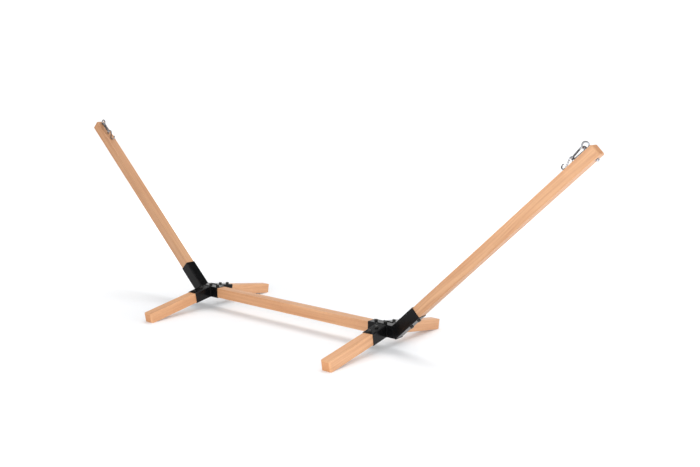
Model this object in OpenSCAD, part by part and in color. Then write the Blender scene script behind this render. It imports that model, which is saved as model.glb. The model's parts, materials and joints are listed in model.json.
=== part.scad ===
// Timber hammock stand: a low centre beam, two sloping arms and four feet, joined by two welded
// corner brackets. An eye bolt with a snap hook and an S-hook hangs at the top of each arm.
// +X runs along the beam, +Z is up, and the origin is on the floor under the beam's middle.

/* [Timber] */
// Side of the square timber section
timber = 60; // [56:1:60]
// Radius of the timber's eased long edges
edge_r = 2; // [1:0.5:5]
// Chamfer around the timber's sawn ends
end_chamfer = 6; // [2:0.5:8]
// Height of the beam's axis above the floor
beam_height = 105; // [104:1:105]
// Distance from the stand's middle to each corner, where the beam's and the arm's axes meet
corner_x = 760; // [720:5:900]
// Length of an arm from the corner to its tip
arm_reach = 1452; // [1200:4:1600]
// Slope of an arm above the horizontal, in degrees
arm_slope = 44.3; // [40:0.1:50]
// Distance from the stand's middle to the feet
foot_x = 684; // [680:1:690]
// Length of a foot's axis from the beam's axis to its end
foot_reach = 507; // [500:1:507]
// Slope of a foot below the horizontal, in degrees
foot_slope = 9.6; // [9.5:0.1:9.8]

/* [Corner bracket] */
// Wall of the square steel tube
tube_wall = 3; // [2:0.5:3]
// Gap between the timber and the inside of its socket
socket_gap = 0.5; // [0.3:0.1:1]
// Outer corner radius of the tube
tube_corner_r = 4; // [4:0.5:7]
// Distance from the stand's middle to the mouth of a beam socket
beam_mouth_x = 591; // [580:1:600]
// Distance from the corner to the mouth of the arm socket
arm_mouth = 190; // [180:1:200]
// Distance from the beam's axis to the mouth of a foot socket
foot_mouth = 154; // [150:1:170]

/* [Coach screws] */
// Thread diameter
screw_d = 10; // [8:1:10]
// Length under the head
screw_length = 50; // [40:5:55]
// Width of the hexagon head across its flats
screw_flats = 17; // [15:1:17]
// Height of the hexagon head
screw_head_h = 7; // [5:0.5:8]
// Outer diameter of a washer
washer_d = 20; // [18:1:22]
// Thickness of a washer
washer_t = 2; // [1.5:0.5:2]

/* [Eye bolt] */
// Distance of the eye bolt from the arm's tip
eye_u = 32; // [26:1:32]
// Radius of the eye, to the middle of its rod
eye_r = 16; // [16:0.5:17]
// Diameter of the eye's rod and of the shank
eye_rod = 8; // [7:0.5:8]
// Width of its nut across the flats
nut_flats = 13; // [13:1:14]
// Height of its nut
nut_h = 6.5; // [6:0.5:8]

/* [Snap hook] */
// Diameter of the rod
snap_rod = 8; // [7:0.5:8]
// Length between the middles of the rod at the two ends
snap_length = 80; // [80:1:90]
// Radius of the wide end, to the middle of the rod
snap_wide_r = 15; // [15:0.5:16]
// Radius of the narrow end, to the middle of the rod
snap_narrow_r = 8.5; // [8.5:0.5:10]
// Roll of the hook about its length as it lies on the arm, in degrees
snap_roll = 28; // [26:1:28]
// Diameter of the gate
gate_d = 9; // [8.5:0.5:9]

/* [S-hook] */
// Diameter of the rod
s_rod = 7; // [6:0.5:7]
// Radius of each loop, to the middle of the rod
s_loop_r = 13; // [13:0.5:14]
// Distance between the middles of the two loops
s_spread = 47; // [44:1:50]

/* [Hidden] */
$fn = 64;

// Timber and tube
half = timber / 2;
bore_half = half + socket_gap;
tube_half = bore_half + tube_wall;
foot_rise = tube_half * tan(foot_slope);
beam_end_x = corner_x - 30;
arm_start = 30;
foot_start = 42;
mitre_overrun = 40;
big = 400;
rod_trim = 1.5;
knuckle_proud = 0.15;

// Screws: two in each socket, measured from the frame that the socket is drawn in
beam_screw_x = [622, 684];
arm_screw_s = [97, 158];
foot_screw_s = [76, 138];
screw_hole_d = screw_d + 0.1;
bracket_hole_d = screw_d + 1;
washer_hole_d = screw_d + 0.5;
screw_tip = 8;

// Eye bolt: heights above the arm's inner face
eye_v = eye_r + eye_rod / 2;
eye_hole_d = eye_rod + 0.6;
thread_proud = 3.5;
shank_length = timber + washer_t + nut_h + thread_proud;

// Snap hook: its frame starts in the middle of its rod at the wide end, which hangs in the eye
snap_hang = 6.7;
hang_angle = 35;
snap_u = eye_u + snap_hang * cos(hang_angle);
snap_v = eye_v - snap_hang * sin(hang_angle);
snap_dip = 2.2;
snap_tilt = asin((snap_wide_r - snap_narrow_r) / (snap_length - snap_wide_r - snap_narrow_r));
bar_length = (snap_length - snap_wide_r - snap_narrow_r) * cos(snap_tilt);
nose_start = 3;
gate_start = nose_start + 1;
gate_pivot = bar_length - 12;
gate_r = gate_d / 2;
stub_start = gate_pivot + gate_r + 0.5;
rivet_d = 3;
rivet_clear = 0.07;
tab_r = 3.5;
tab_half = 1.8;
fork_half = tab_half + 0.3;
nose_half = 1.5;
nose_pin_t = nose_start + 5;
nose_pin_r = 2;
nose_gap = 0.35;
spring_bore_r = 2.7;
spring_r = 1.9;
spring_wire = 0.7;
spring_turns = 8;
spring_start = gate_pivot - 19;
spring_end = gate_pivot - 8;
plunger_r = 2.4;

// S-hook: where the first loop's middle lies from the middle of the snap hook's narrow end
s_ahead = 4.3;
s_above = 2.8;
s_tip_angle = 275;
s_tangent = acos(2 * s_loop_r / s_spread);

// ---- frames ----

module on_left() {
    mirror([1, 0, 0]) children();
}

module arm_frame() {
    translate([corner_x, 0, beam_height]) rotate([0, -arm_slope, 0]) children();
}

// turn is -90 for a front foot and 90 for a rear foot
module foot_frame(turn) {
    translate([foot_x, 0, beam_height + foot_rise])
        rotate([0, 0, turn]) rotate([0, foot_slope, 0]) children();
}

// +X down the arm from its tip, +Z out of its inner face
module tip_frame() {
    arm_frame() translate([arm_reach, 0, half]) rotate([0, 0, 180]) children();
}

// +X along the snap hook from its pivot, +Y towards its gate
module snap_frame() {
    tip_frame() translate([snap_u, 0, snap_v])
        rotate([0, snap_dip, 0]) rotate([snap_roll, 0, 0]) children();
}

// +X along the snap hook's gated bar from the nose towards the gate's rivet
module gate_frame() {
    snap_frame()
        translate([snap_wide_r * (1 + sin(snap_tilt)), snap_wide_r * cos(snap_tilt), 0])
            rotate([0, 0, -snap_tilt]) children();
}

// +X along the S-hook, whose plane is XY
module s_frame() {
    tip_frame()
        translate([snap_u + snap_length * cos(snap_dip), 0,
                   snap_v - snap_length * sin(snap_dip)])
            rotate([snap_roll, 0, 0]) rotate([90, 0, 0]) children();
}

// ---- shared shapes ----

module rounded_square(side, r) {
    square([side, side - 2 * r], center = true);
    square([side - 2 * r, side], center = true);
    for (x = [-1, 1], y = [-1, 1])
        translate([x, y] * (side / 2 - r)) circle(r);
}

// A bar along X between two stations
module bar_x(from, to, side, r) {
    translate([from, 0, 0]) rotate([0, 90, 0]) linear_extrude(to - from) rounded_square(side, r);
}

// The outline of a bar's side face, with its ends chamfered
module chamfer_outline(from, to) {
    c = end_chamfer;
    polygon([[from + c, -half], [to - c, -half], [to, c - half], [to, half - c],
             [to - c, half], [from + c, half], [from, half - c], [from, c - half]]);
}

module timber_bar(from, to) {
    intersection() {
        bar_x(from, to, timber, edge_r);
        translate([0, 0, -timber]) linear_extrude(2 * timber) chamfer_outline(from, to);
        rotate([90, 0, 0]) translate([0, 0, -timber])
            linear_extrude(2 * timber) chamfer_outline(from, to);
    }
}

module socket_tube(from, to) {
    difference() {
        bar_x(from, to, 2 * tube_half, tube_corner_r);
        bar_x(from - 1, to + 1, 2 * bore_half, tube_corner_r - tube_wall);
    }
}

// Vertical holes down from the top face of the timber, at stations along X
module pilot_holes(stations) {
    for (s = stations)
        translate([s, 0, half - screw_length - 2]) cylinder(d = screw_hole_d, h = screw_length + 3);
}

module tube_holes(stations) {
    for (s = stations)
        translate([s, 0, tube_half - tube_wall - 3])
            cylinder(d = bracket_hole_d, h = tube_wall + 6);
}

module hexagon(flats, h) {
    cylinder(r = flats / 2 / cos(30), h = h, $fn = 6);
}

module coach_screws(stations) {
    color("#1c1c1e")
        for (s = stations)
            translate([s, 0, tube_half + washer_t]) {
                hexagon(screw_flats, screw_head_h);
                translate([0, 0, screw_tip - screw_length])
                    cylinder(d = screw_d, h = screw_length - screw_tip + 1);
                translate([0, 0, -screw_length])
                    cylinder(d1 = 2, d2 = screw_d, h = screw_tip);
            }
}

module washers(stations) {
    color("#2a2a2c")
        for (s = stations)
            translate([s, 0, tube_half])
                difference() {
                    cylinder(d = washer_d, h = washer_t);
                    translate([0, 0, -1]) cylinder(d = washer_hole_d, h = washer_t + 2);
                }
}

// Screws and washers under the arm are drawn upside down
module under() {
    rotate([180, 0, 0]) children();
}

// A straight rod between two points of the XY plane, kept short of both by the trim
module rod_xy(a, b, r, trim = 0) {
    run = b - a;
    translate([a[0], a[1], 0]) rotate([0, 0, atan2(run[1], run[0])])
        translate([trim, 0, 0]) rotate([0, 90, 0]) cylinder(r = r, h = norm(run) - 2 * trim);
}

// A bent rod in the XY plane, whose ends stop short by the trim
module arc_xy(centre, radius, r, start, sweep, trim) {
    cut = trim / radius * 180 / PI;
    translate([centre[0], centre[1], 0]) rotate([0, 0, start + cut])
        rotate_extrude(angle = sweep - 2 * cut) translate([radius, 0]) circle(r);
}

// A ball that joins two trimmed rods, or rounds the end of one. Its poles lie along the rod, turned from X
module knuckle(at, r, turn = 0) {
    translate([at[0], at[1], 0]) rotate([0, 90, turn]) sphere(r + knuckle_proud);
}

// ---- timber ----

module centre_beam() {
    color("#d9a26a")
        translate([0, 0, beam_height])
            difference() {
                timber_bar(-beam_end_x, beam_end_x);
                pilot_holes(beam_screw_x);
                on_left() pilot_holes(beam_screw_x);
            }
}

module arm() {
    color("#dba56d")
        arm_frame()
            difference() {
                timber_bar(arm_start, arm_reach);
                under() pilot_holes(arm_screw_s);
                translate([arm_reach - eye_u, 0, -half - 1])
                    cylinder(d = eye_hole_d, h = timber + 2);
            }
}

// The end of a foot is trimmed flat where it stands on the floor
module foot(turn) {
    color("#dea870")
        difference() {
            foot_frame(turn)
                difference() {
                    timber_bar(foot_start, foot_reach);
                    pilot_holes(foot_screw_s);
                }
            translate([0, 0, -big]) cube([2 * corner_x, 2 * foot_reach, big] * 2, center = true);
        }
}

// ---- corner bracket ----

// Everything beyond the plane that halves the corner's angle
module beyond_mitre() {
    rotate([0, -arm_slope / 2, 0]) translate([0, -big / 2, -big / 2]) cube(big);
}

module before_mitre() {
    rotate([0, -arm_slope / 2, 0]) translate([-big, -big / 2, -big / 2]) cube(big);
}

// A foot's tube starts over the rounded corner of the beam's tube, and stays out of its bore
module foot_socket(turn) {
    root_half = tube_half - tube_corner_r;
    difference() {
        foot_frame(turn) socket_tube(0, foot_mouth);
        translate([foot_x, 0, beam_height]) {
            cube([4 * tube_half, 2 * root_half, 4 * tube_half], center = true);
            bar_x(-2 * tube_half, 2 * tube_half, 2 * bore_half, tube_corner_r - tube_wall);
        }
    }
}

module bracket() {
    color("#26262a")
        difference() {
            union() {
                translate([corner_x, 0, beam_height]) {
                    difference() {
                        socket_tube(beam_mouth_x - corner_x, mitre_overrun);
                        beyond_mitre();
                    }
                    difference() {
                        rotate([0, -arm_slope, 0]) socket_tube(-mitre_overrun, arm_mouth);
                        before_mitre();
                    }
                }
                foot_socket(-90);
                foot_socket(90);
            }
            translate([0, 0, beam_height]) tube_holes(beam_screw_x);
            arm_frame() under() tube_holes(arm_screw_s);
            foot_frame(-90) tube_holes(foot_screw_s);
            foot_frame(90) tube_holes(foot_screw_s);
        }
}

// ---- screws and washers in place ----

module beam_screws() {
    translate([0, 0, beam_height]) coach_screws(beam_screw_x);
}

module arm_screws() {
    arm_frame() under() coach_screws(arm_screw_s);
}

module foot_screws(turn) {
    foot_frame(turn) coach_screws(foot_screw_s);
}

module beam_washers() {
    translate([0, 0, beam_height]) washers(beam_screw_x);
}

module arm_washers() {
    arm_frame() under() washers(arm_screw_s);
}

module foot_washers(turn) {
    foot_frame(turn) washers(foot_screw_s);
}

// ---- eye bolt ----

module eye_bolt() {
    color("silver")
        tip_frame()
            translate([eye_u, 0, 0]) {
                translate([0, 0, eye_v]) rotate([90, 0, 0])
                    rotate_extrude() translate([eye_r, 0]) circle(d = eye_rod);
                translate([0, 0, -shank_length])
                    cylinder(d = eye_rod, h = shank_length + eye_v - eye_r);
            }
}

module eye_washer() {
    color("lightgray")
        tip_frame()
            translate([eye_u, 0, -timber - washer_t])
                difference() {
                    cylinder(d = washer_d, h = washer_t);
                    translate([0, 0, -1]) cylinder(d = eye_rod + 0.4, h = washer_t + 2);
                }
}

module eye_nut() {
    color("silver")
        tip_frame()
            translate([eye_u, 0, -timber - washer_t - nut_h])
                difference() {
                    hexagon(nut_flats, nut_h);
                    translate([0, 0, -1]) cylinder(d = eye_rod + 0.1, h = nut_h + 2);
                }
}

// ---- snap hook ----

// A cut across the gated bar, with its middle at a station along the bar
module across(station, r, reach) {
    translate([station, 0, -reach]) cylinder(r = r, h = 2 * reach);
}

module snap_hook() {
    wide = [snap_wide_r, 0];
    narrow = [snap_length - snap_narrow_r, 0];
    lean = [sin(snap_tilt), -cos(snap_tilt)];
    r = snap_rod / 2;
    color("silver") {
        snap_frame() {
            arc_xy(wide, snap_wide_r, r, 90 - snap_tilt, 180 + 2 * snap_tilt, rod_trim);
            knuckle(wide + snap_wide_r * lean, r);
            rod_xy(wide + snap_wide_r * lean, narrow + snap_narrow_r * lean, r, rod_trim);
            knuckle(narrow + snap_narrow_r * lean, r);
            arc_xy(narrow, snap_narrow_r, r, snap_tilt - 90, 180 - 2 * snap_tilt, rod_trim);
        }
        gate_frame() {
            knuckle([0, 0], r);
            rod_xy([rod_trim, 0], [nose_start, 0], r);
            rod_xy([stub_start, 0], [bar_length - rod_trim, 0], r);
            knuckle([bar_length, 0], r);
            hinge_tab();
            nose();
        }
    }
}

// The flat tab that the gate's rivet passes through
module hinge_tab() {
    difference() {
        union() {
            across(gate_pivot, tab_r, tab_half);
            translate([gate_pivot, -tab_r, -tab_half])
                cube([stub_start - gate_pivot + 1, 2 * tab_r, 2 * tab_half]);
        }
        across(gate_pivot, rivet_d / 2 + rivet_clear, tab_half + 1);
    }
}

// The flat nose with its cross pin, which the gate closes on
module nose() {
    translate([nose_start - 1, -2.5, -nose_half])
        cube([nose_pin_t - nose_start + 1, 5, 2 * nose_half]);
    across(nose_pin_t, nose_pin_r, 3.8);
}

module snap_gate() {
    slot = nose_pin_t + nose_pin_r + 1;
    pocket = nose_pin_r + nose_gap;
    tab_clear = gate_pivot - tab_r - 0.6;
    color("dimgray")
        gate_frame()
            difference() {
                intersection() {
                    rod_xy([gate_start, 0], [gate_pivot + gate_r, 0], gate_r);
                    union() {
                        translate([0, -gate_d, -gate_d])
                            cube([gate_pivot, 2 * gate_d, 2 * gate_d]);
                        across(gate_pivot, gate_r, gate_d);
                    }
                }
                translate([-1, -gate_d, -nose_half - nose_gap])
                    cube([slot + 1, 2 * gate_d, 2 * (nose_half + nose_gap)]);
                translate([nose_pin_t - pocket, -pocket, -gate_d])
                    cube([2 * pocket, gate_d, 2 * gate_d]);
                translate([tab_clear, -gate_d, -fork_half])
                    cube([gate_d * 2, 2 * gate_d, 2 * fork_half]);
                across(gate_pivot, rivet_d / 2 + rivet_clear, gate_d);
                rod_xy([spring_start - 1, 0], [gate_pivot, 0], spring_bore_r);
            }
}

module gate_rivet() {
    color("gainsboro") gate_frame() across(gate_pivot, rivet_d / 2, gate_r + 0.1);
}

module gate_plunger() {
    color("gainsboro")
        gate_frame() rod_xy([spring_end + 0.2, 0], [gate_pivot - tab_r - 0.3, 0], plunger_r);
}

// One point on the spring's wire: a turn angle around the bar, and an angle around the wire
function coil_point(pitch, turn, around) =
    let (r = spring_r + spring_wire / 2 * cos(around))
        [spring_start + pitch * turn / 360 + spring_wire / 2 * sin(around),
         r * cos(turn), r * sin(turn)];

module gate_spring() {
    sides = 6;
    steps = spring_turns * 12;
    pitch = (spring_end - spring_start) / spring_turns;
    points = [for (i = [0:steps], j = [0:sides - 1]) coil_point(pitch, i * 30, j * 360 / sides)];
    walls = [for (i = [0:steps - 1], j = [0:sides - 1])
        [i * sides + j, (i + 1) * sides + j, (i + 1) * sides + (j + 1) % sides,
         i * sides + (j + 1) % sides]];
    start_cap = [for (j = [0:sides - 1]) j];
    end_cap = [for (j = [sides - 1:-1:0]) steps * sides + j];
    color("gainsboro")
        gate_frame() polyhedron(points, concat(walls, [start_cap, end_cap]));
}

// ---- S-hook ----

function on_loop(angle) = s_loop_r * [cos(angle), sin(angle)];

module s_loop() {
    arc_xy([0, 0], s_loop_r, s_rod / 2, s_tangent, s_tip_angle - s_tangent, rod_trim);
    knuckle(on_loop(s_tangent), s_rod / 2, s_tangent + 90);
    knuckle(on_loop(s_tip_angle), s_rod / 2, s_tip_angle + 90);
}

module s_hook() {
    far_middle = [s_spread, 0];
    color("silver")
        s_frame()
            translate([s_ahead, s_above, 0]) {
                s_loop();
                rod_xy(on_loop(s_tangent), far_middle - on_loop(s_tangent), s_rod / 2, rod_trim);
                translate([s_spread, 0, 0]) rotate([0, 0, 180]) s_loop();
            }
}

centre_beam();
on_left() arm();  // left_arm
arm();  // right_arm
on_left() foot(-90);  // left_front_foot
on_left() foot(90);  // left_rear_foot
foot(-90);  // right_front_foot
foot(90);  // right_rear_foot
on_left() bracket();  // left_bracket
bracket();  // right_bracket
on_left() beam_screws();  // left_beam_screws
on_left() arm_screws();  // left_arm_screws
on_left() foot_screws(-90);  // left_front_foot_screws
on_left() foot_screws(90);  // left_rear_foot_screws
beam_screws();  // right_beam_screws
arm_screws();  // right_arm_screws
foot_screws(-90);  // right_front_foot_screws
foot_screws(90);  // right_rear_foot_screws
on_left() beam_washers();  // left_beam_washers
on_left() arm_washers();  // left_arm_washers
on_left() foot_washers(-90);  // left_front_foot_washers
on_left() foot_washers(90);  // left_rear_foot_washers
beam_washers();  // right_beam_washers
arm_washers();  // right_arm_washers
foot_washers(-90);  // right_front_foot_washers
foot_washers(90);  // right_rear_foot_washers
on_left() eye_bolt();  // left_eye_bolt
eye_bolt();  // right_eye_bolt
on_left() eye_washer();  // left_eye_washer
eye_washer();  // right_eye_washer
on_left() eye_nut();  // left_eye_nut
eye_nut();  // right_eye_nut
on_left() snap_hook();  // left_snap_hook
snap_hook();  // right_snap_hook
on_left() snap_gate();  // left_snap_gate
snap_gate();  // right_snap_gate
on_left() gate_rivet();  // left_gate_rivet
gate_rivet();  // right_gate_rivet
on_left() gate_plunger();  // left_gate_plunger
gate_plunger();  // right_gate_plunger
on_left() gate_spring();  // left_gate_spring
gate_spring();  // right_gate_spring
on_left() s_hook();  // left_s_hook
s_hook();  // right_s_hook
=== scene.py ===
"""A timber hammock stand in a plain white studio. Lengths are in metres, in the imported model's frame."""

import json
import math
import random

import bmesh
import bpy
from mathutils import Matrix, Vector, noise


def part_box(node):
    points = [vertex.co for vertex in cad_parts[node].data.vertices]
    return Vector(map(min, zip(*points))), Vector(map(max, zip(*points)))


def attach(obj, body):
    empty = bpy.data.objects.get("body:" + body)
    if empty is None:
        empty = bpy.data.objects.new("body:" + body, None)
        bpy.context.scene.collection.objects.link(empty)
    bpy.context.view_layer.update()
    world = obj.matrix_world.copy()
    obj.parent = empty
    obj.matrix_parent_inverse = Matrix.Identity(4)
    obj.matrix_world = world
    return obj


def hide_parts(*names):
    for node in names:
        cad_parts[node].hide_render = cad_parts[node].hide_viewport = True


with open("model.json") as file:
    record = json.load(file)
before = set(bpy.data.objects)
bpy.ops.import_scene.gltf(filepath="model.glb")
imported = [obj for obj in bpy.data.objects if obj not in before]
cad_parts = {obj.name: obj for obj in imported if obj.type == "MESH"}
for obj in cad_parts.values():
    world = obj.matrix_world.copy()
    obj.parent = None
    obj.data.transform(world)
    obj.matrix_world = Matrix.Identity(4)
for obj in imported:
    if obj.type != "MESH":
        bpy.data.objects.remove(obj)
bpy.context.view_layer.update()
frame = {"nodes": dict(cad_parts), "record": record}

# ---- sizes ----

TIMBER_HALF = 0.030
TIMBER_EDGE = 0.002
END_CHAMFER = 0.006
END_FACE_INSET = 0.010
END_SOFT = 0.0009
END_MARK = 0.6
STATION_SPACING = 0.02
EASE_WANDER = 0.3
LEAST_EASE = 0.0006
DENT_ABOVE = 0.35
DENT_DEPTH = 0.012
ARM_SLOPE = math.radians(44.3)
FOOT_SLOPE = math.radians(9.6)
ARM_START = 0.030
FOOT_START = 0.042
FOOT_REACH = 0.507

TUBE_HALF = 0.0335
TUBE_WALL = 0.003
TUBE_CORNER = 0.004
TUBE_NEAR_EDGE = 0.004
TUBE_CORNER_MARK = 0.35
LIP = 0.0007
LIP_BAND = 0.0025
LIP_MARK = 0.9
BEAM_MOUTH = 0.591
ARM_MOUTH = 0.190
FOOT_MOUTH = 0.154
FOOT_RINGS = (0.07, 0.1, 0.13, FOOT_MOUTH - LIP_BAND)
ROOT_BITE = 0.001
ROOT_CURVE_START = 0.026
ROOT_CURVE_WIDE = 0.006
ROOT_CURVE_DEEP = 0.0045
CORNER_BEAD = 0.0019
FOOT_BEAD = 0.0024
BEAD_GAP = 0.0012
BEAD_PITCH = 0.0042
BEAD_STEPS = 5
BEAD_SIDES = 10

BEAM_SCREWS = (0.622, 0.684)
ARM_SCREWS = (0.097, 0.158)
FOOT_SCREWS = (0.076, 0.138)
SCREW_FLATS = 0.017
SCREW_HEAD = 0.007
SCREW_SHANK = 0.005
SCREW_LENGTH = 0.050
SCREW_DEPTH = 0.0011
SCREW_PITCH = 0.0045
SCREW_BORE = 0.00525
WASHER_R = 0.010
WASHER_T = 0.002
WASHER_SOFT = 0.0003
HEX_CHAMFER = math.radians(30)
HEX_FACE = 0.96
THREAD_STEPS = 8

EYE_U = 0.032
EYE_V = 0.020
EYE_R = 0.016
EYE_ROD = 0.004
EYE_THREAD_DEPTH = 0.0007
EYE_THREAD_PITCH = 0.00125
EYE_WASHER_BORE = 0.0042
NUT_FLATS = 0.013
NUT_BORE = 0.00408
NUT_H = 0.0065
NUT_SOFT = 0.0006
NUT_SPIN = 0.4
THREAD_PROUD = 0.0035
ROD_SIDES = 20
DOME_STEPS = 4
DOME_QUARTER = 4.3

SNAP_ROD = 0.004
SNAP_LENGTH = 0.080
SNAP_WIDE = 0.015
SNAP_NARROW = 0.0085
SNAP_HANG = 0.0067
SNAP_HANG_ANGLE = math.radians(35)
SNAP_DIP = math.radians(2.2)
SNAP_ROLL = math.radians(28)
NOSE_START = 0.003
NOSE_HALVES = (0.0025, 0.0015)
TAB_HALVES = (0.0035, 0.0018)
FINE_STEP = 0.0005
PIN_AT = NOSE_START + 0.005
GATE_R = 0.0045
RIVET_BACK = 0.012

S_ROD = 0.0035
S_LOOP = 0.013
S_SPREAD = 0.047
S_AHEAD = 0.0043
S_ABOVE = 0.0028
S_TIP_ANGLE = math.radians(275)

SIDES = {"left": -1, "right": 1}
ROWS = {"front": -1, "rear": 1}

# ---- places, from the frame ----


def middle(node):
    low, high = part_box(node)
    return (Vector(low) + Vector(high)) / 2


def joint_place(name):
    for joint in frame["record"]["behaviour"]["joints"]:
        if joint["name"] == name:
            return Vector(joint["pos_m"])
    raise ValueError(name)


BEAM_Z = middle("centre_beam").z
BEAM_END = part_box("centre_beam")[1][0]
FOOT_X = middle("right_front_foot").x
FOOT_RISE = TUBE_HALF * math.tan(FOOT_SLOPE)


class Arm:
    """One arm's directions and main points. u runs down it from its tip, v out of its inner face."""

    def __init__(self, side):
        self.side = side
        self.up = Vector((side * math.cos(ARM_SLOPE), 0, math.sin(ARM_SLOPE)))
        self.inner = Vector((-side * math.sin(ARM_SLOPE), 0, math.cos(ARM_SLOPE)))
        name = "right" if side > 0 else "left"
        self.eye = joint_place(f"{name}_snap_hook_swing")
        self.tip = self.eye + self.up * EYE_U - self.inner * EYE_V
        end = self.tip - self.inner * TIMBER_HALF
        self.reach = (end.z - BEAM_Z) / math.sin(ARM_SLOPE)
        self.corner = end - self.up * self.reach

    def at_tip(self, u, y, v):
        """A point near the tip. y is towards the front of the stand."""
        return self.tip - self.up * u + Vector((0, -y, 0)) + self.inner * v

    def on_snap(self, p, q, n):
        """A point of the snap hook: p along it, q towards its gate, n out of its plane."""
        y = q * math.cos(SNAP_ROLL) - n * math.sin(SNAP_ROLL)
        v = q * math.sin(SNAP_ROLL) + n * math.cos(SNAP_ROLL)
        u = p * math.cos(SNAP_DIP) + v * math.sin(SNAP_DIP)
        v = v * math.cos(SNAP_DIP) - p * math.sin(SNAP_DIP)
        hang_u = EYE_U + SNAP_HANG * math.cos(SNAP_HANG_ANGLE)
        hang_v = EYE_V - SNAP_HANG * math.sin(SNAP_HANG_ANGLE)
        return self.at_tip(hang_u + u, y, hang_v + v)

    def on_s_hook(self, a, b, n):
        """A point of the S-hook: a along it, b across it, n out of its plane."""
        seat = self.on_snap(SNAP_LENGTH, 0, 0)
        across = Vector((0, math.sin(SNAP_ROLL), 0)) + self.inner * math.cos(SNAP_ROLL)
        out = Vector((0, math.cos(SNAP_ROLL), 0)) - self.inner * math.sin(SNAP_ROLL)
        return seat - self.up * a + across * b + out * n


ARMS = {name: Arm(side) for name, side in SIDES.items()}


class Foot:
    """The axis of one foot, from the beam's axis outwards."""

    def __init__(self, side, row):
        self.along = Vector((0, row * math.cos(FOOT_SLOPE), -math.sin(FOOT_SLOPE)))
        self.up = Vector((0, row * math.sin(FOOT_SLOPE), math.cos(FOOT_SLOPE)))
        self.row = row
        self.root = Vector((side * FOOT_X, 0, BEAM_Z + FOOT_RISE))

    def at(self, s, a, b):
        return self.root + self.along * s + Vector((a, 0, 0)) + self.up * b


FEET = {(side, row): Foot(SIDES[side], ROWS[row]) for side in SIDES for row in ROWS}

# ---- node helpers ----


def srgb(red, green, blue):
    """A colour given as 0 to 255 values, as linear light."""
    def linear(value):
        value /= 255
        return value / 12.92 if value <= 0.04045 else ((value + 0.055) / 1.055) ** 2.4
    return (linear(red), linear(green), linear(blue), 1)


class Shader:
    """A material under construction: a Principled shader and short calls that add nodes in front of it."""

    def __init__(self, name, **values):
        self.material = bpy.data.materials.new(name)
        self.material.use_nodes = True
        self.tree = self.material.node_tree
        self.base = self.tree.nodes["Principled BSDF"]
        self.coords = self.node("ShaderNodeTexCoord").outputs["Object"]
        for key, value in values.items():
            self.base.inputs[key.replace("_", " ")].default_value = value

    def node(self, kind, inputs=None, **settings):
        made = self.tree.nodes.new(kind)
        for key, value in settings.items():
            setattr(made, key, value)
        for key, value in (inputs or {}).items():
            if isinstance(value, bpy.types.NodeSocket):
                self.tree.links.new(value, made.inputs[key])
            else:
                made.inputs[key].default_value = value
        return made

    def maths(self, operation, *values):
        return self.node("ShaderNodeMath", dict(enumerate(values)), operation=operation).outputs[0]

    def place(self, scale, shift=(0, 0, 0)):
        """The coordinates scaled and shifted: the object's, or the timber's own along its grain."""
        inputs = {"Vector": self.coords, "Scale": scale, "Location": shift}
        return self.node("ShaderNodeMapping", inputs).outputs[0]

    def noise(self, vector, scale=1, detail=3, roughness=0.5):
        inputs = {"Vector": vector, "Scale": scale, "Detail": detail, "Roughness": roughness}
        return self.node("ShaderNodeTexNoise", inputs).outputs["Fac"]

    def spread(self, value, low, high, to_low=0, to_high=1):
        inputs = {"Value": value, "From Min": low, "From Max": high, "To Min": to_low, "To Max": to_high}
        return self.node("ShaderNodeMapRange", inputs, interpolation_type="SMOOTHSTEP").outputs[0]

    def mix(self, factor, first, second):
        made = self.node("ShaderNodeMix", data_type="RGBA")
        for socket, value in ((0, factor), (6, first), (7, second)):
            if isinstance(value, bpy.types.NodeSocket):
                self.tree.links.new(value, made.inputs[socket])
            else:
                made.inputs[socket].default_value = value
        return made.outputs[2]

    def attribute(self, name):
        return self.node("ShaderNodeAttribute", attribute_name=name).outputs["Fac"]

    def bump(self, height, strength, distance):
        inputs = {"Height": height, "Strength": strength, "Distance": distance}
        made = self.node("ShaderNodeBump", inputs)
        self.tree.links.new(made.outputs[0], self.base.inputs["Normal"])

    def drive(self, socket, value):
        self.tree.links.new(value, self.base.inputs[socket])


# ---- materials ----


# Each timber's colours are scaled by a tone that is painted light and shade: the arms darkened as painted
# shade, the beam a touch darker, the feet a little lighter as painted light.
PAINTED_LIGHTING_TONES = {"centre_beam": 0.98, "left_arm": 0.80, "right_arm": 0.80}
FOOT_PAINTED_LIGHTING_TONE = 1.03
RING_PITCH = 0.0042
RING_WANDER = 0.020


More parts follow.
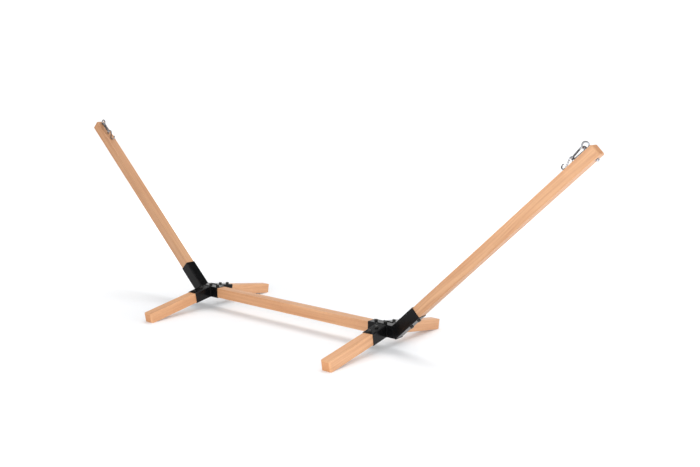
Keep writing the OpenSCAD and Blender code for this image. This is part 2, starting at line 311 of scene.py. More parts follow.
def timber_material(seed, painted_light_tone):
    """Oiled honey-coloured timber. The grain runs along it, with growth rings about a far pith. All its
    colours are scaled by the piece's tone, which paints in the light or shade the piece gets.
    """
    # each wood colour is scaled by the piece's tone of painted light and shade
    def stain_with_painted_light(red, green, blue):
        return (*(painted_light_tone * value for value in srgb(red, green, blue)[:3]), 1)

    draw = random.Random(seed)
    pith = (
        draw.uniform(0.05, 0.09) * draw.choice((-1, 1)), draw.uniform(0.02, 0.08) * draw.choice((-1, 1)),
    )
    shift = (draw.uniform(0, 9), draw.uniform(0, 9), draw.uniform(0, 9))
    shader = Shader(f"timber_{seed}", Specular_IOR_Level=0.6)
    shader.coords = shader.node("ShaderNodeAttribute", attribute_name="grain").outputs["Vector"]

    # the growth rings, then finer and finer marks drawn out along the timber
    wobble = shader.noise(shader.place((1.1, 7, 7), shift), detail=3)
    flat = shader.place((0, 1, 1), (0, pith[0], pith[1]))
    distance = shader.node("ShaderNodeVectorMath", {0: flat}, operation="LENGTH").outputs["Value"]
    bent = shader.maths("MULTIPLY_ADD", wobble, RING_WANDER, distance)
    ring = shader.maths("FRACT", shader.maths("DIVIDE", bent, RING_PITCH))
    late = shader.maths("MULTIPLY", shader.spread(ring, 0.35, 0.9), shader.spread(ring, 1.0, 0.93))
    streak = shader.noise(shader.place((2.2, 110, 110), shift), detail=4, roughness=0.6)
    fibre = shader.noise(shader.place((14, 1300, 1300), shift), detail=2)
    pores = shader.spread(shader.noise(shader.place((55, 2100, 2100), shift), detail=1), 0.62, 0.74)
    broad = shader.noise(shader.place((1.3, 14, 14), shift), detail=2)

    end_grain = shader.spread(shader.attribute("end_grain"), 0.75, 0.95)
    edge = shader.attribute("edge")

    pale, tan, deep = stain_with_painted_light(226, 176, 132), stain_with_painted_light(212, 157, 112), stain_with_painted_light(178, 117, 74)
    colour = shader.mix(shader.spread(broad, 0.3, 0.7), pale, tan)
    colour = shader.mix(shader.spread(streak, 0.35, 0.8, 0, 0.5), colour, deep)
    ring_depth = shader.maths("MULTIPLY_ADD", end_grain, 0.3, 0.26)
    colour = shader.mix(shader.maths("MULTIPLY", late, ring_depth), colour, deep)
    colour = shader.mix(shader.spread(fibre, 0.3, 0.75, 0, 0.16), colour, deep)
    colour = shader.mix(shader.maths("MULTIPLY", pores, 0.35), colour, stain_with_painted_light(120, 70, 38))
    colour = shader.mix(shader.maths("MULTIPLY", end_grain, 0.5), colour, stain_with_painted_light(198, 134, 84))
    rubbed = shader.maths("MULTIPLY", edge, shader.spread(wobble, 0.35, 0.65, 0.05, 0.3))
    colour = shader.mix(rubbed, colour, stain_with_painted_light(240, 198, 152))
    shader.drive("Base Color", colour)

    # end grain is rougher, and late wood stands a little proud
    rough = shader.maths("MULTIPLY_ADD", streak, 0.22, 0.36)
    shader.drive("Roughness", shader.maths("MULTIPLY_ADD", end_grain, 0.16, rough))
    height = shader.maths("MULTIPLY_ADD", late, 0.35, shader.maths("MULTIPLY_ADD", pores, -0.6, fibre))
    shader.bump(height, 0.35, 0.0003)
    return shader.material


def coating_material():
    """Black satin powder coat: orange peel, a little dust, and rubbed edges."""
    shader = Shader("powder_coat", Specular_IOR_Level=0.17)
    peel = shader.noise(shader.place((1, 1, 1)), scale=620, detail=2)
    dust = shader.noise(shader.place((1, 1, 1)), scale=45, detail=5, roughness=0.65)
    colour = shader.mix(shader.spread(dust, 0.45, 0.75, 0, 0.5), srgb(12, 12, 13), srgb(20, 20, 22))
    rubbed = shader.maths("MULTIPLY", shader.attribute("edge"), shader.spread(dust, 0.42, 0.62, 0.1, 0.6))
    colour = shader.mix(rubbed, colour, srgb(58, 58, 61))
    shader.drive("Base Color", colour)
    shader.drive("Roughness", shader.spread(dust, 0.3, 0.75, 0.17, 0.27))
    shader.bump(peel, 0.12, 0.0001)
    return shader.material


def black_zinc_material():
    """Black-plated fasteners, slightly brassy where the plate is thin on the edges."""
    shader = Shader("black_zinc", Metallic=0.6, Specular_IOR_Level=0.5)
    mottle = shader.noise(shader.place((1, 1, 1)), scale=240, detail=4)
    worn = shader.maths("MULTIPLY", shader.attribute("edge"), shader.spread(mottle, 0.4, 0.65, 0.1, 0.8))
    colour = shader.mix(shader.spread(mottle, 0.35, 0.7), srgb(22, 22, 23), srgb(31, 31, 33))
    shader.drive("Base Color", shader.mix(worn, colour, srgb(108, 106, 102)))
    shader.drive("Roughness", shader.spread(mottle, 0.3, 0.7, 0.3, 0.46))
    shader.bump(mottle, 0.15, 0.0001)
    return shader.material


def zinc_material(name, light, dark, rough):
    """Plated steel: mottled, with fine drawing marks along no single direction."""
    shader = Shader(name, Metallic=1.0)
    mottle = shader.noise(shader.place((1, 1, 1)), scale=160, detail=5, roughness=0.6)
    fine = shader.noise(shader.place((1, 1, 1)), scale=1500, detail=2)
    shader.drive("Base Color", shader.mix(shader.spread(mottle, 0.35, 0.7), light, dark))
    shader.drive("Roughness", shader.spread(mottle, 0.3, 0.75, rough, rough + 0.14))
    shader.bump(fine, 0.12, 0.00008)
    return shader.material


COATING = coating_material()
BLACK_ZINC = black_zinc_material()
ZINC = zinc_material("zinc_plate", srgb(176, 178, 183), srgb(146, 149, 155), 0.15)
GATE_STEEL = zinc_material("gate_steel", srgb(112, 114, 118), srgb(80, 82, 86), 0.24)
SPRING_STEEL = zinc_material("spring_steel", srgb(186, 184, 180), srgb(140, 138, 134), 0.22)

# ---- mesh helpers ----

SHARP = math.radians(32)


def finish_piece(name, bm, material, body, replaced):
    """Turns a bmesh into a piece that rides on a body and stands for CAD nodes."""
    bmesh.ops.recalc_face_normals(bm, faces=bm.faces)
    for face in bm.faces:
        face.smooth = True
    for edge in bm.edges:
        edge.smooth = len(edge.link_faces) == 2 and edge.calc_face_angle(0) < SHARP
    mesh = bpy.data.meshes.new(name)
    bm.to_mesh(mesh)
    bm.free()
    piece = bpy.data.objects.new(name, mesh)
    bpy.context.scene.collection.objects.link(piece)
    mesh.materials.append(material)
    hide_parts(*replaced)
    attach(piece, body)


def new_bmesh():
    bm = bmesh.new()
    bm.verts.layers.float.new("edge")
    return bm


def add_loop(bm, points, marks=None):
    """One ring of vertices. marks says how near an edge each one is, from 0 to 1."""
    layer = bm.verts.layers.float["edge"]
    ring = []
    for index, point in enumerate(points):
        vert = bm.verts.new(point)
        vert[layer] = marks[index] if marks else 0.0
        ring.append(vert)
    return ring


def skin(bm, rings, cyclic=False):
    """Joins rings of equal count with quads, and caps the two ends unless the rings are cyclic."""
    pairs = list(zip(rings, rings[1:]))
    if cyclic:
        pairs.append((rings[-1], rings[0]))
    for near, far in pairs:
        count = len(near)
        for i in range(count):
            j = (i + 1) % count
            bm.faces.new((near[i], near[j], far[j], far[i]))
    if not cyclic:
        bm.faces.new(rings[0])
        bm.faces.new(rings[-1])


def rounded_outline(half, radius, near_edge=0.002):
    """A square with rounded corners, as (a, b, mark) points. mark is 1 in the middle of a corner.

    near_edge is how close to each corner the flat's own outermost points lie.
    """
    arc_steps, flats = 5, 3
    points = []
    straight = half - radius
    for quarter in range(4):
        turn = quarter * math.pi / 2
        row = []
        for step in range(arc_steps + 1):
            angle = step / arc_steps * math.pi / 2
            mark = math.sin(angle * 2) * 0.5 + 0.5
            row.append((straight + radius * math.cos(angle), straight + radius * math.sin(angle), mark))
        for step in range(flats + 2):
            reach = straight - near_edge
            row.append((reach - 2 * reach * step / (flats + 1), half, 0.0))
        for a, b, mark in row:
            c, s = math.cos(turn), math.sin(turn)
            points.append((a * c - b * s, a * s + b * c, mark))
    return points


# ---- timber ----


def end_profile():
    """A chamfered end with softened arrises, as (distance from the end, inset) pairs."""
    cut, soft = END_CHAMFER, END_SOFT
    return [
        (0, END_FACE_INSET), (0, cut + soft),
        (0.175 * soft, cut + 0.075 * soft), (0.7 * soft, cut - 0.7 * soft),
        (cut - 0.7 * soft, 0.7 * soft), (cut + 0.075 * soft, 0.175 * soft), (cut + soft, 0),
    ]


def timber_stations(length):
    """(x, inset) pairs from one end of a timber to the other."""
    ends = end_profile()
    start = END_CHAMFER + STATION_SPACING / 2
    inner = length - 2 * start
    count = max(2, round(inner / STATION_SPACING))
    body = [(start + inner * i / count, 0) for i in range(count + 1)]
    return ends + body + [(length - x, inset) for x, inset in reversed(ends)]


def timber_piece(name, matrix, length, seed, floor=False):
    """A planed timber along its own X. Its eased edges wander a little, as sanded ones do.

    The mesh is turned into place, and keeps its own coordinates as an attribute for the grain.
    """
    bm = new_bmesh()
    rings = []
    for x, inset in timber_stations(length):
        ease = TIMBER_EDGE * (1 + EASE_WANDER * noise.noise(Vector((x * 9, seed * 3.7, 0))))
        half = TIMBER_HALF - inset
        outline = rounded_outline(half, max(ease - inset * 0.6, LEAST_EASE))
        least_mark = END_MARK if 0 < inset < END_CHAMFER else 0.0
        points, marks = [], []
        for a, b, mark in outline:
            dent = noise.noise(Vector((x * 55, a * 60, b * 60 + seed)))
            shrink = 1 - max(0, dent - DENT_ABOVE) * DENT_DEPTH * mark
            points.append((x, a * shrink, b * shrink))
            marks.append(0.0 if inset == END_FACE_INSET else max(mark, least_mark))
        rings.append(add_loop(bm, points, marks))
    skin(bm, rings)
    grain = bm.verts.layers.float_vector.new("grain")
    end_grain = bm.verts.layers.float.new("end_grain")
    for vert in bm.verts:
        vert[grain] = vert.co
        vert[end_grain] = 0.0 if 0 < vert.co.x < length else 1.0
    bm.transform(matrix)
    if floor:
        stand_on_floor(bm)
    # the tone passed on is this piece's painted light and shade
    material = timber_material(seed, PAINTED_LIGHTING_TONES.get(name, FOOT_PAINTED_LIGHTING_TONE))
    finish_piece(name, bm, material, "frame", [name])


def stand_on_floor(bm):
    """Trims the mesh flat where it would go below the floor."""
    geometry = bm.verts[:] + bm.edges[:] + bm.faces[:]
    bmesh.ops.bisect_plane(bm, geom=geometry, plane_co=(0, 0, 0), plane_no=(0, 0, -1), clear_outer=True)
    rim = [edge for edge in bm.edges if edge.is_boundary]
    bmesh.ops.holes_fill(bm, edges=rim)


def local_frame(origin, along, up):
    """A matrix with X along and Z up, at the origin."""
    side = up.cross(along)
    columns = Matrix((along, side, up)).transposed().to_4x4()
    columns.translation = origin
    return columns


def build_timber():
    start = Vector((-BEAM_END, 0, BEAM_Z))
    timber_piece("centre_beam", local_frame(start, Vector((1, 0, 0)), Vector((0, 0, 1))), 2 * BEAM_END, 11)
    for index, (name, arm) in enumerate(ARMS.items()):
        start = arm.corner + arm.up * ARM_START
        matrix = local_frame(start, arm.up, arm.inner)
        timber_piece(f"{name}_arm", matrix, arm.reach - ARM_START, 21 + index)
    for index, ((side, row), foot) in enumerate(FEET.items()):
        matrix = local_frame(foot.at(FOOT_START, 0, 0), foot.along, foot.up)
        name = f"{side}_{row}_foot"
        timber_piece(name, matrix, FOOT_REACH - FOOT_START, 31 + index, floor=True)


# ---- corner brackets ----


def lip_profile():
    """The rounded mouth of a tube, as (distance from the mouth, inset) pairs from outside to bore."""
    turn = [(LIP, 0), (0.29 * LIP, 0.29 * LIP), (0, LIP)]
    return turn + [(x, TUBE_WALL - inset) for x, inset in reversed(turn)]


def tube_ring(bm, inset, place, mark=0.0):
    """A ring of the tube's section. place turns (a, b) into a point."""
    outline = rounded_outline(TUBE_HALF - inset, TUBE_CORNER - inset, near_edge=TUBE_NEAR_EDGE)
    points = [place(a, b) for a, b, _ in outline]
    return add_loop(bm, points, [max(mark, TUBE_CORNER_MARK * m) for _, _, m in outline])


def bent_tube(bm, arm):
    """The beam socket and the arm socket, mitred at the corner, as one closed shell."""
    lean = math.tan(ARM_SLOPE / 2)
    across = Vector((0, 1, 0))
    rise = Vector((0, 0, 1))
    out = Vector((arm.side, 0, 0))
    mouth = BEAM_MOUTH - abs(arm.corner.x)

    def beam(x):
        return lambda a, b: arm.corner + out * x + across * a + rise * b

    def sloping(s):
        return lambda a, b: arm.corner + arm.up * s + across * a + arm.inner * b

    def mitre(a, b):
        return arm.corner - out * b * lean + across * a + rise * b

    rings = [tube_ring(bm, inset, beam(mouth + x), LIP_MARK) for x, inset in reversed(lip_profile())]
    rings.append(tube_ring(bm, 0, beam(mouth + LIP_BAND)))
    rings += [tube_ring(bm, 0, beam(mouth * k / 4)) for k in (3, 2, 1)]
    rings.append(tube_ring(bm, 0, mitre))
    rings += [tube_ring(bm, 0, sloping(ARM_MOUTH * k / 4)) for k in (1, 2, 3)]
    rings.append(tube_ring(bm, 0, sloping(ARM_MOUTH - LIP_BAND)))
    rings += [tube_ring(bm, inset, sloping(ARM_MOUTH - x), LIP_MARK) for x, inset in lip_profile()]
    rings.append(tube_ring(bm, TUBE_WALL, mitre))
    skin(bm, rings, cyclic=True)


def foot_root(b, gap=0.0):
    """How far from the beam's axis a foot's tube starts: at the side wall, or over the rounded corner."""
    over = min(1, max(0, (abs(b) - ROOT_CURVE_START) / ROOT_CURVE_WIDE))
    return TUBE_HALF - ROOT_BITE - ROOT_CURVE_DEEP * over + gap


def foot_tube(bm, foot):
    def root(a, b):
        s = (foot_root(b) - b * math.sin(FOOT_SLOPE)) / math.cos(FOOT_SLOPE)
        return foot.at(s, a, b)

    def station(s):
        return lambda a, b: foot.at(s, a, b)

    rings = [tube_ring(bm, 0, root)]
    rings += [tube_ring(bm, 0, station(s)) for s in FOOT_RINGS]
    rings += [tube_ring(bm, inset, station(FOOT_MOUTH - x), LIP_MARK) for x, inset in lip_profile()]
    rings.append(tube_ring(bm, TUBE_WALL, root))
    skin(bm, rings, cyclic=True)


def resample(path, step):
    """Even points round a closed path."""
    points, lengths = path + path[:1], [0.0]
    for a, b in zip(points, points[1:]):
        lengths.append(lengths[-1] + (b - a).length)
    count = max(12, round(lengths[-1] / step))
    result, place = [], 0
    for i in range(count):
        want = lengths[-1] * i / count
        while lengths[place + 1] < want:
            place += 1
        part = (want - lengths[place]) / (lengths[place + 1] - lengths[place])
        result.append(points[place].lerp(points[place + 1], part))
    return result


def weld_bead(bm, path, radius, seed):
    """A closed fillet weld: overlapping ripples that vary a little in size."""
    points = resample(path, BEAD_PITCH / BEAD_STEPS)
    centre = sum(points, Vector()) / len(points)
    rings = []
    for i, point in enumerate(points):
        tangent = (points[(i + 1) % len(points)] - points[i - 1]).normalized()
        outward = point - centre
        outward = (outward - tangent * outward.dot(tangent)).normalized()
        third = tangent.cross(outward)
        ripple = (i % BEAD_STEPS) / BEAD_STEPS
        size = radius * (0.93 + 0.09 * math.sin(math.pi * ripple))
        size *= 1 + 0.12 * noise.noise(Vector((i * 0.11, seed, 0)))
        angles = [2 * math.pi * k / BEAD_SIDES for k in range(BEAD_SIDES)]
        rings.append(add_loop(bm, [
            point + (outward * math.cos(t) + third * math.sin(t)) * size for t in angles
        ]))
    skin(bm, rings, cyclic=True)


def bracket_piece(name):
    arm = ARMS[name]
    bm = new_bmesh()
    bent_tube(bm, arm)
    lean = math.tan(ARM_SLOPE / 2)
    outline = rounded_outline(TUBE_HALF, TUBE_CORNER)
    corner = [arm.corner + Vector((-arm.side * b * lean, a, b)) for a, b, _ in outline]
    weld_bead(bm, corner, CORNER_BEAD, 3 + arm.side)
    for row in ROWS:
        foot = FEET[name, row]
        foot_tube(bm, foot)
        seam = []
        for a, b, _ in outline:
            s = (foot_root(b, BEAD_GAP) - b * math.sin(FOOT_SLOPE)) / math.cos(FOOT_SLOPE)
            seam.append(foot.at(s, a, b))
        weld_bead(bm, seam, FOOT_BEAD, 7 + arm.side + foot.row)
    finish_piece(f"{name}_bracket", bm, COATING, "frame", [f"{name}_bracket"])


# ---- turned and threaded pieces ----


class Turned:
    """Rings of points about an axis. A ring's r and z are numbers or functions of the angle."""

    def __init__(self, bm, seat, axis, spin=0.0, sides=48):
        self.bm, self.seat, self.axis, self.sides = bm, seat, axis.normalized(), sides
        start = Vector((0, 1, 0)) if abs(self.axis.y) < 0.9 else Vector((1, 0, 0))
        self.one = (start - self.axis * start.dot(self.axis)).normalized()
        self.two = self.axis.cross(self.one)
        self.spin = spin
        self.rings = []

    def ring(self, r, z, mark=0.0):
        points = []
        for k in range(self.sides):
            angle = 2 * math.pi * k / self.sides
            radius = r(angle) if callable(r) else r
            height = z(angle) if callable(z) else z
            turned = angle + self.spin
            flat = self.one * math.cos(turned) + self.two * math.sin(turned)
            points.append(self.seat + flat * radius + self.axis * height)
        self.rings.append(add_loop(self.bm, points, [mark] * self.sides))

    def close(self, cyclic=False):
        skin(self.bm, self.rings, cyclic=cyclic)


def hexagon(flats):
    """The radius of a hexagon at an angle."""
    def radius(angle):
        return flats / 2 / math.cos((angle % (math.pi / 3)) - math.pi / 6)
    return radius


def shaved(flats, height):
    """The height of a chamfered hexagon's rim at an angle."""
    outline = hexagon(flats)
    return lambda angle: height - (outline(angle) - flats / 2 * HEX_FACE) * math.tan(HEX_CHAMFER)


def threaded(turned, radius, depth, pitch, top, bottom):
    """A thread from top down to bottom, as rings whose radius follows the helix."""
    def groove(z):
        def at(angle):
            phase = (z / pitch + angle / (2 * math.pi)) % 1
            run_in = min(1, (top - z) / pitch, (z - bottom) / pitch)
            return radius - depth * abs(2 * phase - 1) * max(0, run_in)
        return at
    steps = round((top - bottom) / pitch * THREAD_STEPS)
    for i in range(steps + 1):
        z = top - (top - bottom) * i / steps
        turned.ring(groove(z), z, 0.2)


def coach_screw(bm, seat, axis, spin):
    """A hexagon-head coach screw, from its head's top down to its point."""
    made = Turned(bm, seat, axis, spin)
    made.ring(0.0010, SCREW_HEAD + 0.00005)
    made.ring(SCREW_FLATS / 2 * HEX_FACE, SCREW_HEAD, 0.5)
    made.ring(hexagon(SCREW_FLATS), shaved(SCREW_FLATS, SCREW_HEAD), 1.0)
    made.ring(hexagon(SCREW_FLATS), 0.0004, 0.8)
    made.ring(hexagon(SCREW_FLATS * 0.985), 0)
    made.ring(SCREW_SHANK, 0)
    made.ring(SCREW_SHANK, -0.012)
    threaded(made, SCREW_SHANK, SCREW_DEPTH, SCREW_PITCH, -0.014, 0.008 - SCREW_LENGTH)
    made.ring(0.0022, 0.003 - SCREW_LENGTH)
    made.ring(0.0004, -SCREW_LENGTH)
    made.close()


def washer(bm, seat, axis, bore):
    soft = WASHER_SOFT
    made = Turned(bm, seat, axis)
    for r, z, mark in (
        (bore, soft, 0), (bore + soft, 0, 0), (WASHER_R - soft, 0, 0), (WASHER_R, soft, 0.8),
        (WASHER_R, WASHER_T - soft, 1), (WASHER_R - soft, WASHER_T, 0.8),
        (bore + soft, WASHER_T, 0.3), (bore, WASHER_T - soft, 0),
    ):
        made.ring(r, z, mark)
    made.close(cyclic=True)


def screw_set(name, seats, axis, seed):
    """The screws and the washers of one socket."""
    draw = random.Random(seed)
    screws, washers = new_bmesh(), new_bmesh()
    for seat in seats:
        washer(washers, seat, axis, SCREW_BORE)
        coach_screw(screws, seat + axis * WASHER_T, axis, draw.uniform(0, math.pi / 3))
    finish_piece(f"{name}_screws", screws, BLACK_ZINC, "frame", [f"{name}_screws"])
    finish_piece(f"{name}_washers", washers, BLACK_ZINC, "frame", [f"{name}_washers"])


def build_screws():
    for index, (name, arm) in enumerate(ARMS.items()):
        top = [Vector((arm.side * x, 0, BEAM_Z + TUBE_HALF)) for x in BEAM_SCREWS]
        screw_set(f"{name}_beam", top, Vector((0, 0, 1)), 41 + index)
        under = [arm.corner + arm.up * s - arm.inner * TUBE_HALF for s in ARM_SCREWS]
        screw_set(f"{name}_arm", under, -arm.inner, 51 + index)
    for index, ((side, row), foot) in enumerate(FEET.items()):
        seats = [foot.at(s, 0, TUBE_HALF) for s in FOOT_SCREWS]
        screw_set(f"{side}_{row}_foot", seats, foot.up, 61 + index)


# ---- bent rods ----


def arc(centre, radius, start, sweep, steps):
    """Points of an arc, as (x, y) pairs."""
    return [
        (centre[0] + radius * math.cos(start + sweep * i / steps),
         centre[1] + radius * math.sin(start + sweep * i / steps))
        for i in range(steps + 1)
    ]


def line(start, end, steps):
    return [
        (start[0] + (end[0] - start[0]) * i / steps, start[1] + (end[1] - start[1]) * i / steps)
        for i in range(1, steps)
    ]


def planar_rod(bm, path, place, section, cyclic=False):
    """A rod along a flat path, with domed ends. section(i) is its half widths in and out of the plane."""
    count = len(path)
    angles = [2 * math.pi * k / ROD_SIDES for k in range(ROD_SIDES)]

    def ring(x, y, tx, ty, wide, thick):
        return add_loop(bm, [
            place(x - ty * wide * math.cos(t), y + tx * wide * math.cos(t), thick * math.sin(t))
            for t in angles
        ])

    def dome(i, tx, ty, ends):
        x, y = path[i]
        wide, thick = section(i)
        made = []
        for step in range(1, DOME_STEPS + 1):
            angle = step / DOME_QUARTER * math.pi / 2
            reach = wide * math.sin(angle) * ends
            shrink = math.cos(angle)
            made.append(ring(x + tx * reach, y + ty * reach, tx, ty, wide * shrink, thick * shrink))
        return made

    rings, tangents = [], []
    for i, (x, y) in enumerate(path):
        after = path[(i + 1) % count] if cyclic or i + 1 < count else path[i]
        before = path[i - 1] if cyclic or i > 0 else path[i]
        tx, ty = after[0] - before[0], after[1] - before[1]
        size = math.hypot(tx, ty)
        tangents.append((tx / size, ty / size))
        rings.append(ring(x, y, *tangents[-1], *section(i)))
    if not cyclic:
        rings = dome(0, *tangents[0], -1)[::-1] + rings
        rings += dome(count - 1, *tangents[-1], 1)
    skin(bm, rings, cyclic=cyclic)


# ---- eye bolt ----


def eye_bolt_piece(name):
    arm = ARMS[name]
    bm = new_bmesh()
    circle = arc((EYE_U, EYE_V), EYE_R, 0, 2 * math.pi, 72)[:-1]
    round_rod = (EYE_ROD, EYE_ROD)
    planar_rod(bm, circle, lambda u, v, y: arm.at_tip(u, y, v), lambda i: round_rod, cyclic=True)
    seat = arm.at_tip(EYE_U, 0, 0)
    bottom = -2 * TIMBER_HALF - WASHER_T - NUT_H - THREAD_PROUD
    shank = Turned(bm, seat, arm.inner, sides=32)
    shank.ring(0.0030, 0.0050)
    shank.ring(EYE_ROD, 0.0036)
    shank.ring(EYE_ROD, -0.034)
    threaded(shank, EYE_ROD, EYE_THREAD_DEPTH, EYE_THREAD_PITCH, -0.036, bottom + 0.0008)
    shank.ring(0.0031, bottom)
    shank.close()
    finish_piece(f"{name}_eye_bolt", bm, ZINC, "frame", [f"{name}_eye_bolt"])


def eye_nut_piece(name):
    """A hexagon nut, chamfered on both faces, and the washer under it."""
    arm = ARMS[name]
    bm = new_bmesh()
    outline, rim = hexagon(NUT_FLATS), shaved(NUT_FLATS, NUT_H)
    made = Turned(bm, arm.at_tip(EYE_U, 0, -2 * TIMBER_HALF - WASHER_T), -arm.inner, NUT_SPIN)
    made.ring(NUT_BORE, NUT_SOFT)
    made.ring(NUT_BORE + NUT_SOFT, 0)
    made.ring(NUT_FLATS / 2 * HEX_FACE, 0)
    made.ring(outline, lambda angle: NUT_H - rim(angle), 0.8)
    made.ring(outline, rim, 0.8)
    made.ring(NUT_FLATS / 2 * HEX_FACE, NUT_H)
    made.ring(NUT_BORE + NUT_SOFT, NUT_H)
    made.ring(NUT_BORE, NUT_H - NUT_SOFT)
    made.close(cyclic=True)
    finish_piece(f"{name}_eye_nut", bm, ZINC, "frame", [f"{name}_eye_nut"])
    bm = new_bmesh()
    washer(bm, arm.at_tip(EYE_U, 0, -2 * TIMBER_HALF), -arm.inner, EYE_WASHER_BORE)
    finish_piece(f"{name}_eye_washer", bm, ZINC, "frame", [f"{name}_eye_washer"])


# ---- snap hook ----

SNAP_SPAN = SNAP_LENGTH - SNAP_WIDE - SNAP_NARROW
SNAP_TILT = math.asin((SNAP_WIDE - SNAP_NARROW) / SNAP_SPAN)
BAR_LENGTH = SNAP_SPAN * math.cos(SNAP_TILT)
RIVET_AT = BAR_LENGTH - RIVET_BACK


def on_gate_bar(t, q=0.0):
    """A point of the gated bar: t from the nose's end towards the rivet, q outwards."""
    c, s = math.cos(SNAP_TILT), math.sin(SNAP_TILT)
    return (SNAP_WIDE * (1 + s) + t * c + q * s, SNAP_WIDE * c - t * s + q * c)


def snap_hook_piece(name):
    """The forged body: a nose that flattens for the gate's slot, both ends, and the rivet's tab."""
    arm = ARMS[name]
    bm = new_bmesh()
    turn = math.pi / 2 - SNAP_TILT
    narrow = (SNAP_LENGTH - SNAP_NARROW, 0)
    wide_arc = arc((SNAP_WIDE, 0), SNAP_WIDE, turn, 2 * math.pi - 2 * turn, 44)
    narrow_arc = arc(narrow, SNAP_NARROW, -turn, 2 * turn, 30)
    nose = [on_gate_bar(NOSE_START - FINE_STEP + FINE_STEP * k) for k in range(12, -1, -1)]
    stub_end = BAR_LENGTH - RIVET_AT - GATE_R - FINE_STEP
    stub_step = 2 * FINE_STEP
    stub = [on_gate_bar(BAR_LENGTH - stub_step * k) for k in range(1, int(stub_end / stub_step) + 1)]
    tab = [on_gate_bar(RIVET_AT + GATE_R + FINE_STEP - FINE_STEP * k) for k in range(11)]
    path = nose + wide_arc + line(wide_arc[-1], narrow_arc[0], 20) + narrow_arc + stub + tab
    flat_nose, flat_tab = len(nose) - 2, len(path) - len(tab)

    def section(i):
        if i < flat_nose:
            k, halves = min(1, (flat_nose - i) / 2), NOSE_HALVES
        elif i >= flat_tab:
            k, halves = min(1, (i - flat_tab) / 2), TAB_HALVES
        else:
            return (SNAP_ROD, SNAP_ROD)
        return tuple(SNAP_ROD + (half - SNAP_ROD) * k for half in halves)

    planar_rod(bm, path, arm.on_snap, section)
    normal = arm.on_snap(0, 0, 1) - arm.on_snap(0, 0, 0)
    cross = Turned(bm, arm.on_snap(*on_gate_bar(PIN_AT), 0), normal, sides=24)
    for r, z in ((0.0016, -0.0038), (0.002, -0.0034), (0.002, 0.0034), (0.0016, 0.0038)):
        cross.ring(r, z)
    cross.close()
    hook = f"{name}_snap_hook"
    finish_piece(hook, bm, ZINC, hook, [hook])


def gate_rivet_piece(name):
    """The rivet, with a low dome at each end."""
    arm = ARMS[name]
    bm = new_bmesh()
    normal = arm.on_snap(0, 0, 1) - arm.on_snap(0, 0, 0)
    made = Turned(bm, arm.on_snap(*on_gate_bar(RIVET_AT), 0), normal, sides=24)
    top = GATE_R + 0.0001
    for r, z in (
        (0.0006, -top), (0.0011, 0.0002 - top), (0.0015, 0.0006 - top), (0.0015, top - 0.0006),
        (0.0011, top - 0.0002), (0.0006, top),
    ):
        made.ring(r, z)
    made.close()
    rivet = f"{name}_gate_rivet"
    finish_piece(rivet, bm, SPRING_STEEL, f"{name}_gate", [rivet])


def s_hook_piece(name):
    arm = ARMS[name]
    bm = new_bmesh()
    tangent = math.acos(2 * S_LOOP / S_SPREAD)
    sweep = S_TIP_ANGLE - tangent
    first = arc((0, 0), S_LOOP, tangent + sweep, -sweep, 48)
    second = [(S_SPREAD - x, -y) for x, y in reversed(first)]
    path = first + line(first[-1], second[0], 14) + second
    shifted = [(x + S_AHEAD, y + S_ABOVE) for x, y in path]
    planar_rod(bm, shifted, arm.on_s_hook, lambda i: (S_ROD, S_ROD))
    hook = f"{name}_s_hook"
    finish_piece(hook, bm, ZINC, hook, [hook])


def repaint(node, material):
    mesh = frame["nodes"][node].data
    mesh.materials.clear()
    mesh.materials.append(material)


def build_hardware():
    for name in SIDES:
        eye_bolt_piece(name)
        eye_nut_piece(name)
        snap_hook_piece(name)
        gate_rivet_piece(name)
        s_hook_piece(name)
        repaint(f"{name}_snap_gate", GATE_STEEL)
        repaint(f"{name}_gate_plunger", SPRING_STEEL)
        repaint(f"{name}_gate_spring", SPRING_STEEL)


# ---- studio ----

BACKDROP = (-0.60, 0.79, -0.60)
BACKDROP_RAMP = {"From Min": 0.42, "From Max": 0.8, "To Min": 0.07, "To Max": 1.25}
WHITE_WORLD = 1.1
DIM_WORLD = 0.62
FLOOR_SIZE = 60
FLOOR_NEAR = (0.83, 0.845, 0.865, 1)
FLOOR_FAR = (0.985, 0.985, 0.985, 1)
FLOOR_FADE = (0.8, 3.2)
FLOOR_GLOW = 0.1
FLOOR_GLOW_GAIN = 0.42
WHITE = (1, 1, 1, 1)
# name: place, target, size, power
SOFTBOXES = {
    "key_softbox": ((2.3, -4.2, 2.0), (0.3, 0, 0.3), (4.0, 1.6), 122),
    "fill_softbox": ((0.2, 1.8, 6.0), (0.3, 0, 0), (6.0, 2.6), 150),
    "side_softbox": ((4.8, 1.0, 2.2), (-0.5, 0, 0.6), (2.0, 2.0), 50),
}
CAMERA_AT = Vector((3.158, -3.463, 1.360))
CAMERA_YAW = math.radians(-38.14)
CAMERA_PITCH = math.radians(-9.85)
CAMERA_ROLL = math.radians(0.39)
LENS_MM = 42.27


def build_camera():
    data = bpy.data.cameras.new("camera")
    data.lens = LENS_MM
    data.sensor_width = 36
    data.clip_end = 200
    camera = bpy.data.objects.new("camera", data)
    bpy.context.scene.collection.objects.link(camera)
    level = math.cos(CAMERA_PITCH)
    forward = Vector((math.sin(CAMERA_YAW) * level, math.cos(CAMERA_YAW) * level, math.sin(CAMERA_PITCH)))
    right = Vector((math.cos(CAMERA_YAW), -math.sin(CAMERA_YAW), 0))
    up = right.cross(forward)
    tilted = right * math.cos(CAMERA_ROLL) + up * math.sin(CAMERA_ROLL)
    matrix = Matrix((tilted, (-forward).cross(tilted), -forward)).transposed().to_4x4()
    matrix.translation = CAMERA_AT
    camera.matrix_world = matrix
    bpy.context.scene.camera = camera


def area_light(name, place, target, size, power):
    data = bpy.data.lights.new(name, "AREA")
    data.shape = "RECTANGLE"
    data.size, data.size_y = size
    data.energy = power
    light = bpy.data.objects.new(name, data)
    bpy.context.scene.collection.objects.link(light)
    light.location = place
    light.rotation_euler = (Vector(target) - Vector(place)).to_track_quat("-Z", "Y").to_euler()


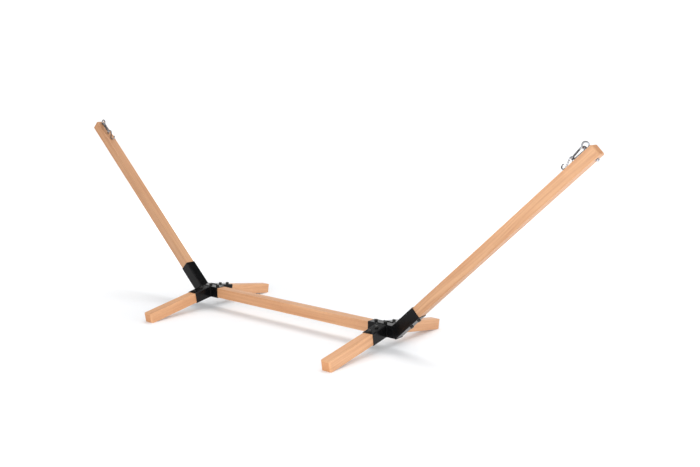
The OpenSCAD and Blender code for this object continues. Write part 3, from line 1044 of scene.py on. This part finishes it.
def studio_world():
    """White to the camera and dim as a light. Reflections see a white backdrop on one side only."""
    world = bpy.data.worlds.new("studio")
    world.use_nodes = True
    tree = world.node_tree
    direction = tree.nodes.new("ShaderNodeTexCoord").outputs["Generated"]
    side = tree.nodes.new("ShaderNodeVectorMath")
    side.operation = "DOT_PRODUCT"
    side.inputs[1].default_value = BACKDROP
    tree.links.new(direction, side.inputs[0])
    ramp = tree.nodes.new("ShaderNodeMapRange")
    ramp.interpolation_type = "SMOOTHSTEP"
    for key, value in BACKDROP_RAMP.items():
        ramp.inputs[key].default_value = value
    tree.links.new(side.outputs["Value"], ramp.inputs["Value"])
    rays = tree.nodes.new("ShaderNodeLightPath").outputs
    strength = None
    for ray, value in (("Is Glossy Ray", ramp.outputs[0]), ("Is Camera Ray", WHITE_WORLD)):
        pick = tree.nodes.new("ShaderNodeMix")
        tree.links.new(rays[ray], pick.inputs[0])
        for socket, source in ((2, strength or DIM_WORLD), (3, value)):
            if isinstance(source, float):
                pick.inputs[socket].default_value = source
            else:
                tree.links.new(source, pick.inputs[socket])
        strength = pick.outputs[0]
    tree.links.new(strength, tree.nodes["Background"].inputs["Strength"])
    tree.nodes["Background"].inputs["Color"].default_value = WHITE
    return world


def build_floor():
    """White paper that is a little shaded round the stand and glows towards the horizon."""
    bm = bmesh.new()
    bmesh.ops.create_grid(bm, x_segments=8, y_segments=8, size=FLOOR_SIZE)
    mesh = bpy.data.meshes.new("floor")
    bm.to_mesh(mesh)
    bm.free()
    floor = bpy.data.objects.new("floor", mesh)
    bpy.context.scene.collection.objects.link(floor)
    paper = Shader("floor_paper", Specular_IOR_Level=0.2)
    from_middle = paper.node("ShaderNodeVectorMath", {0: paper.place((1, 1, 1))}, operation="LENGTH")
    away = paper.spread(from_middle.outputs["Value"], *FLOOR_FADE)
    colour = paper.mix(away, FLOOR_NEAR, FLOOR_FAR)
    speckle = paper.noise(paper.place((1, 1, 1)), scale=400, detail=2)
    fleck = paper.spread(speckle, 0.3, 0.7, 0, 0.02)
    paper.drive("Base Color", paper.mix(fleck, colour, WHITE))
    paper.base.inputs["Roughness"].default_value = 0.75
    paper.base.inputs["Emission Color"].default_value = WHITE
    paper.drive("Emission Strength", paper.maths("MULTIPLY_ADD", away, FLOOR_GLOW_GAIN, FLOOR_GLOW))
    mesh.materials.append(paper.material)


def build_studio():
    scene = bpy.context.scene
    scene.view_settings.view_transform = "Standard"
    scene.world = studio_world()
    build_floor()
    for name, light in SOFTBOXES.items():
        area_light(name, *light)


build_camera()
build_timber()
for bracket in SIDES:
    bracket_piece(bracket)
build_screws()
build_hardware()
build_studio()
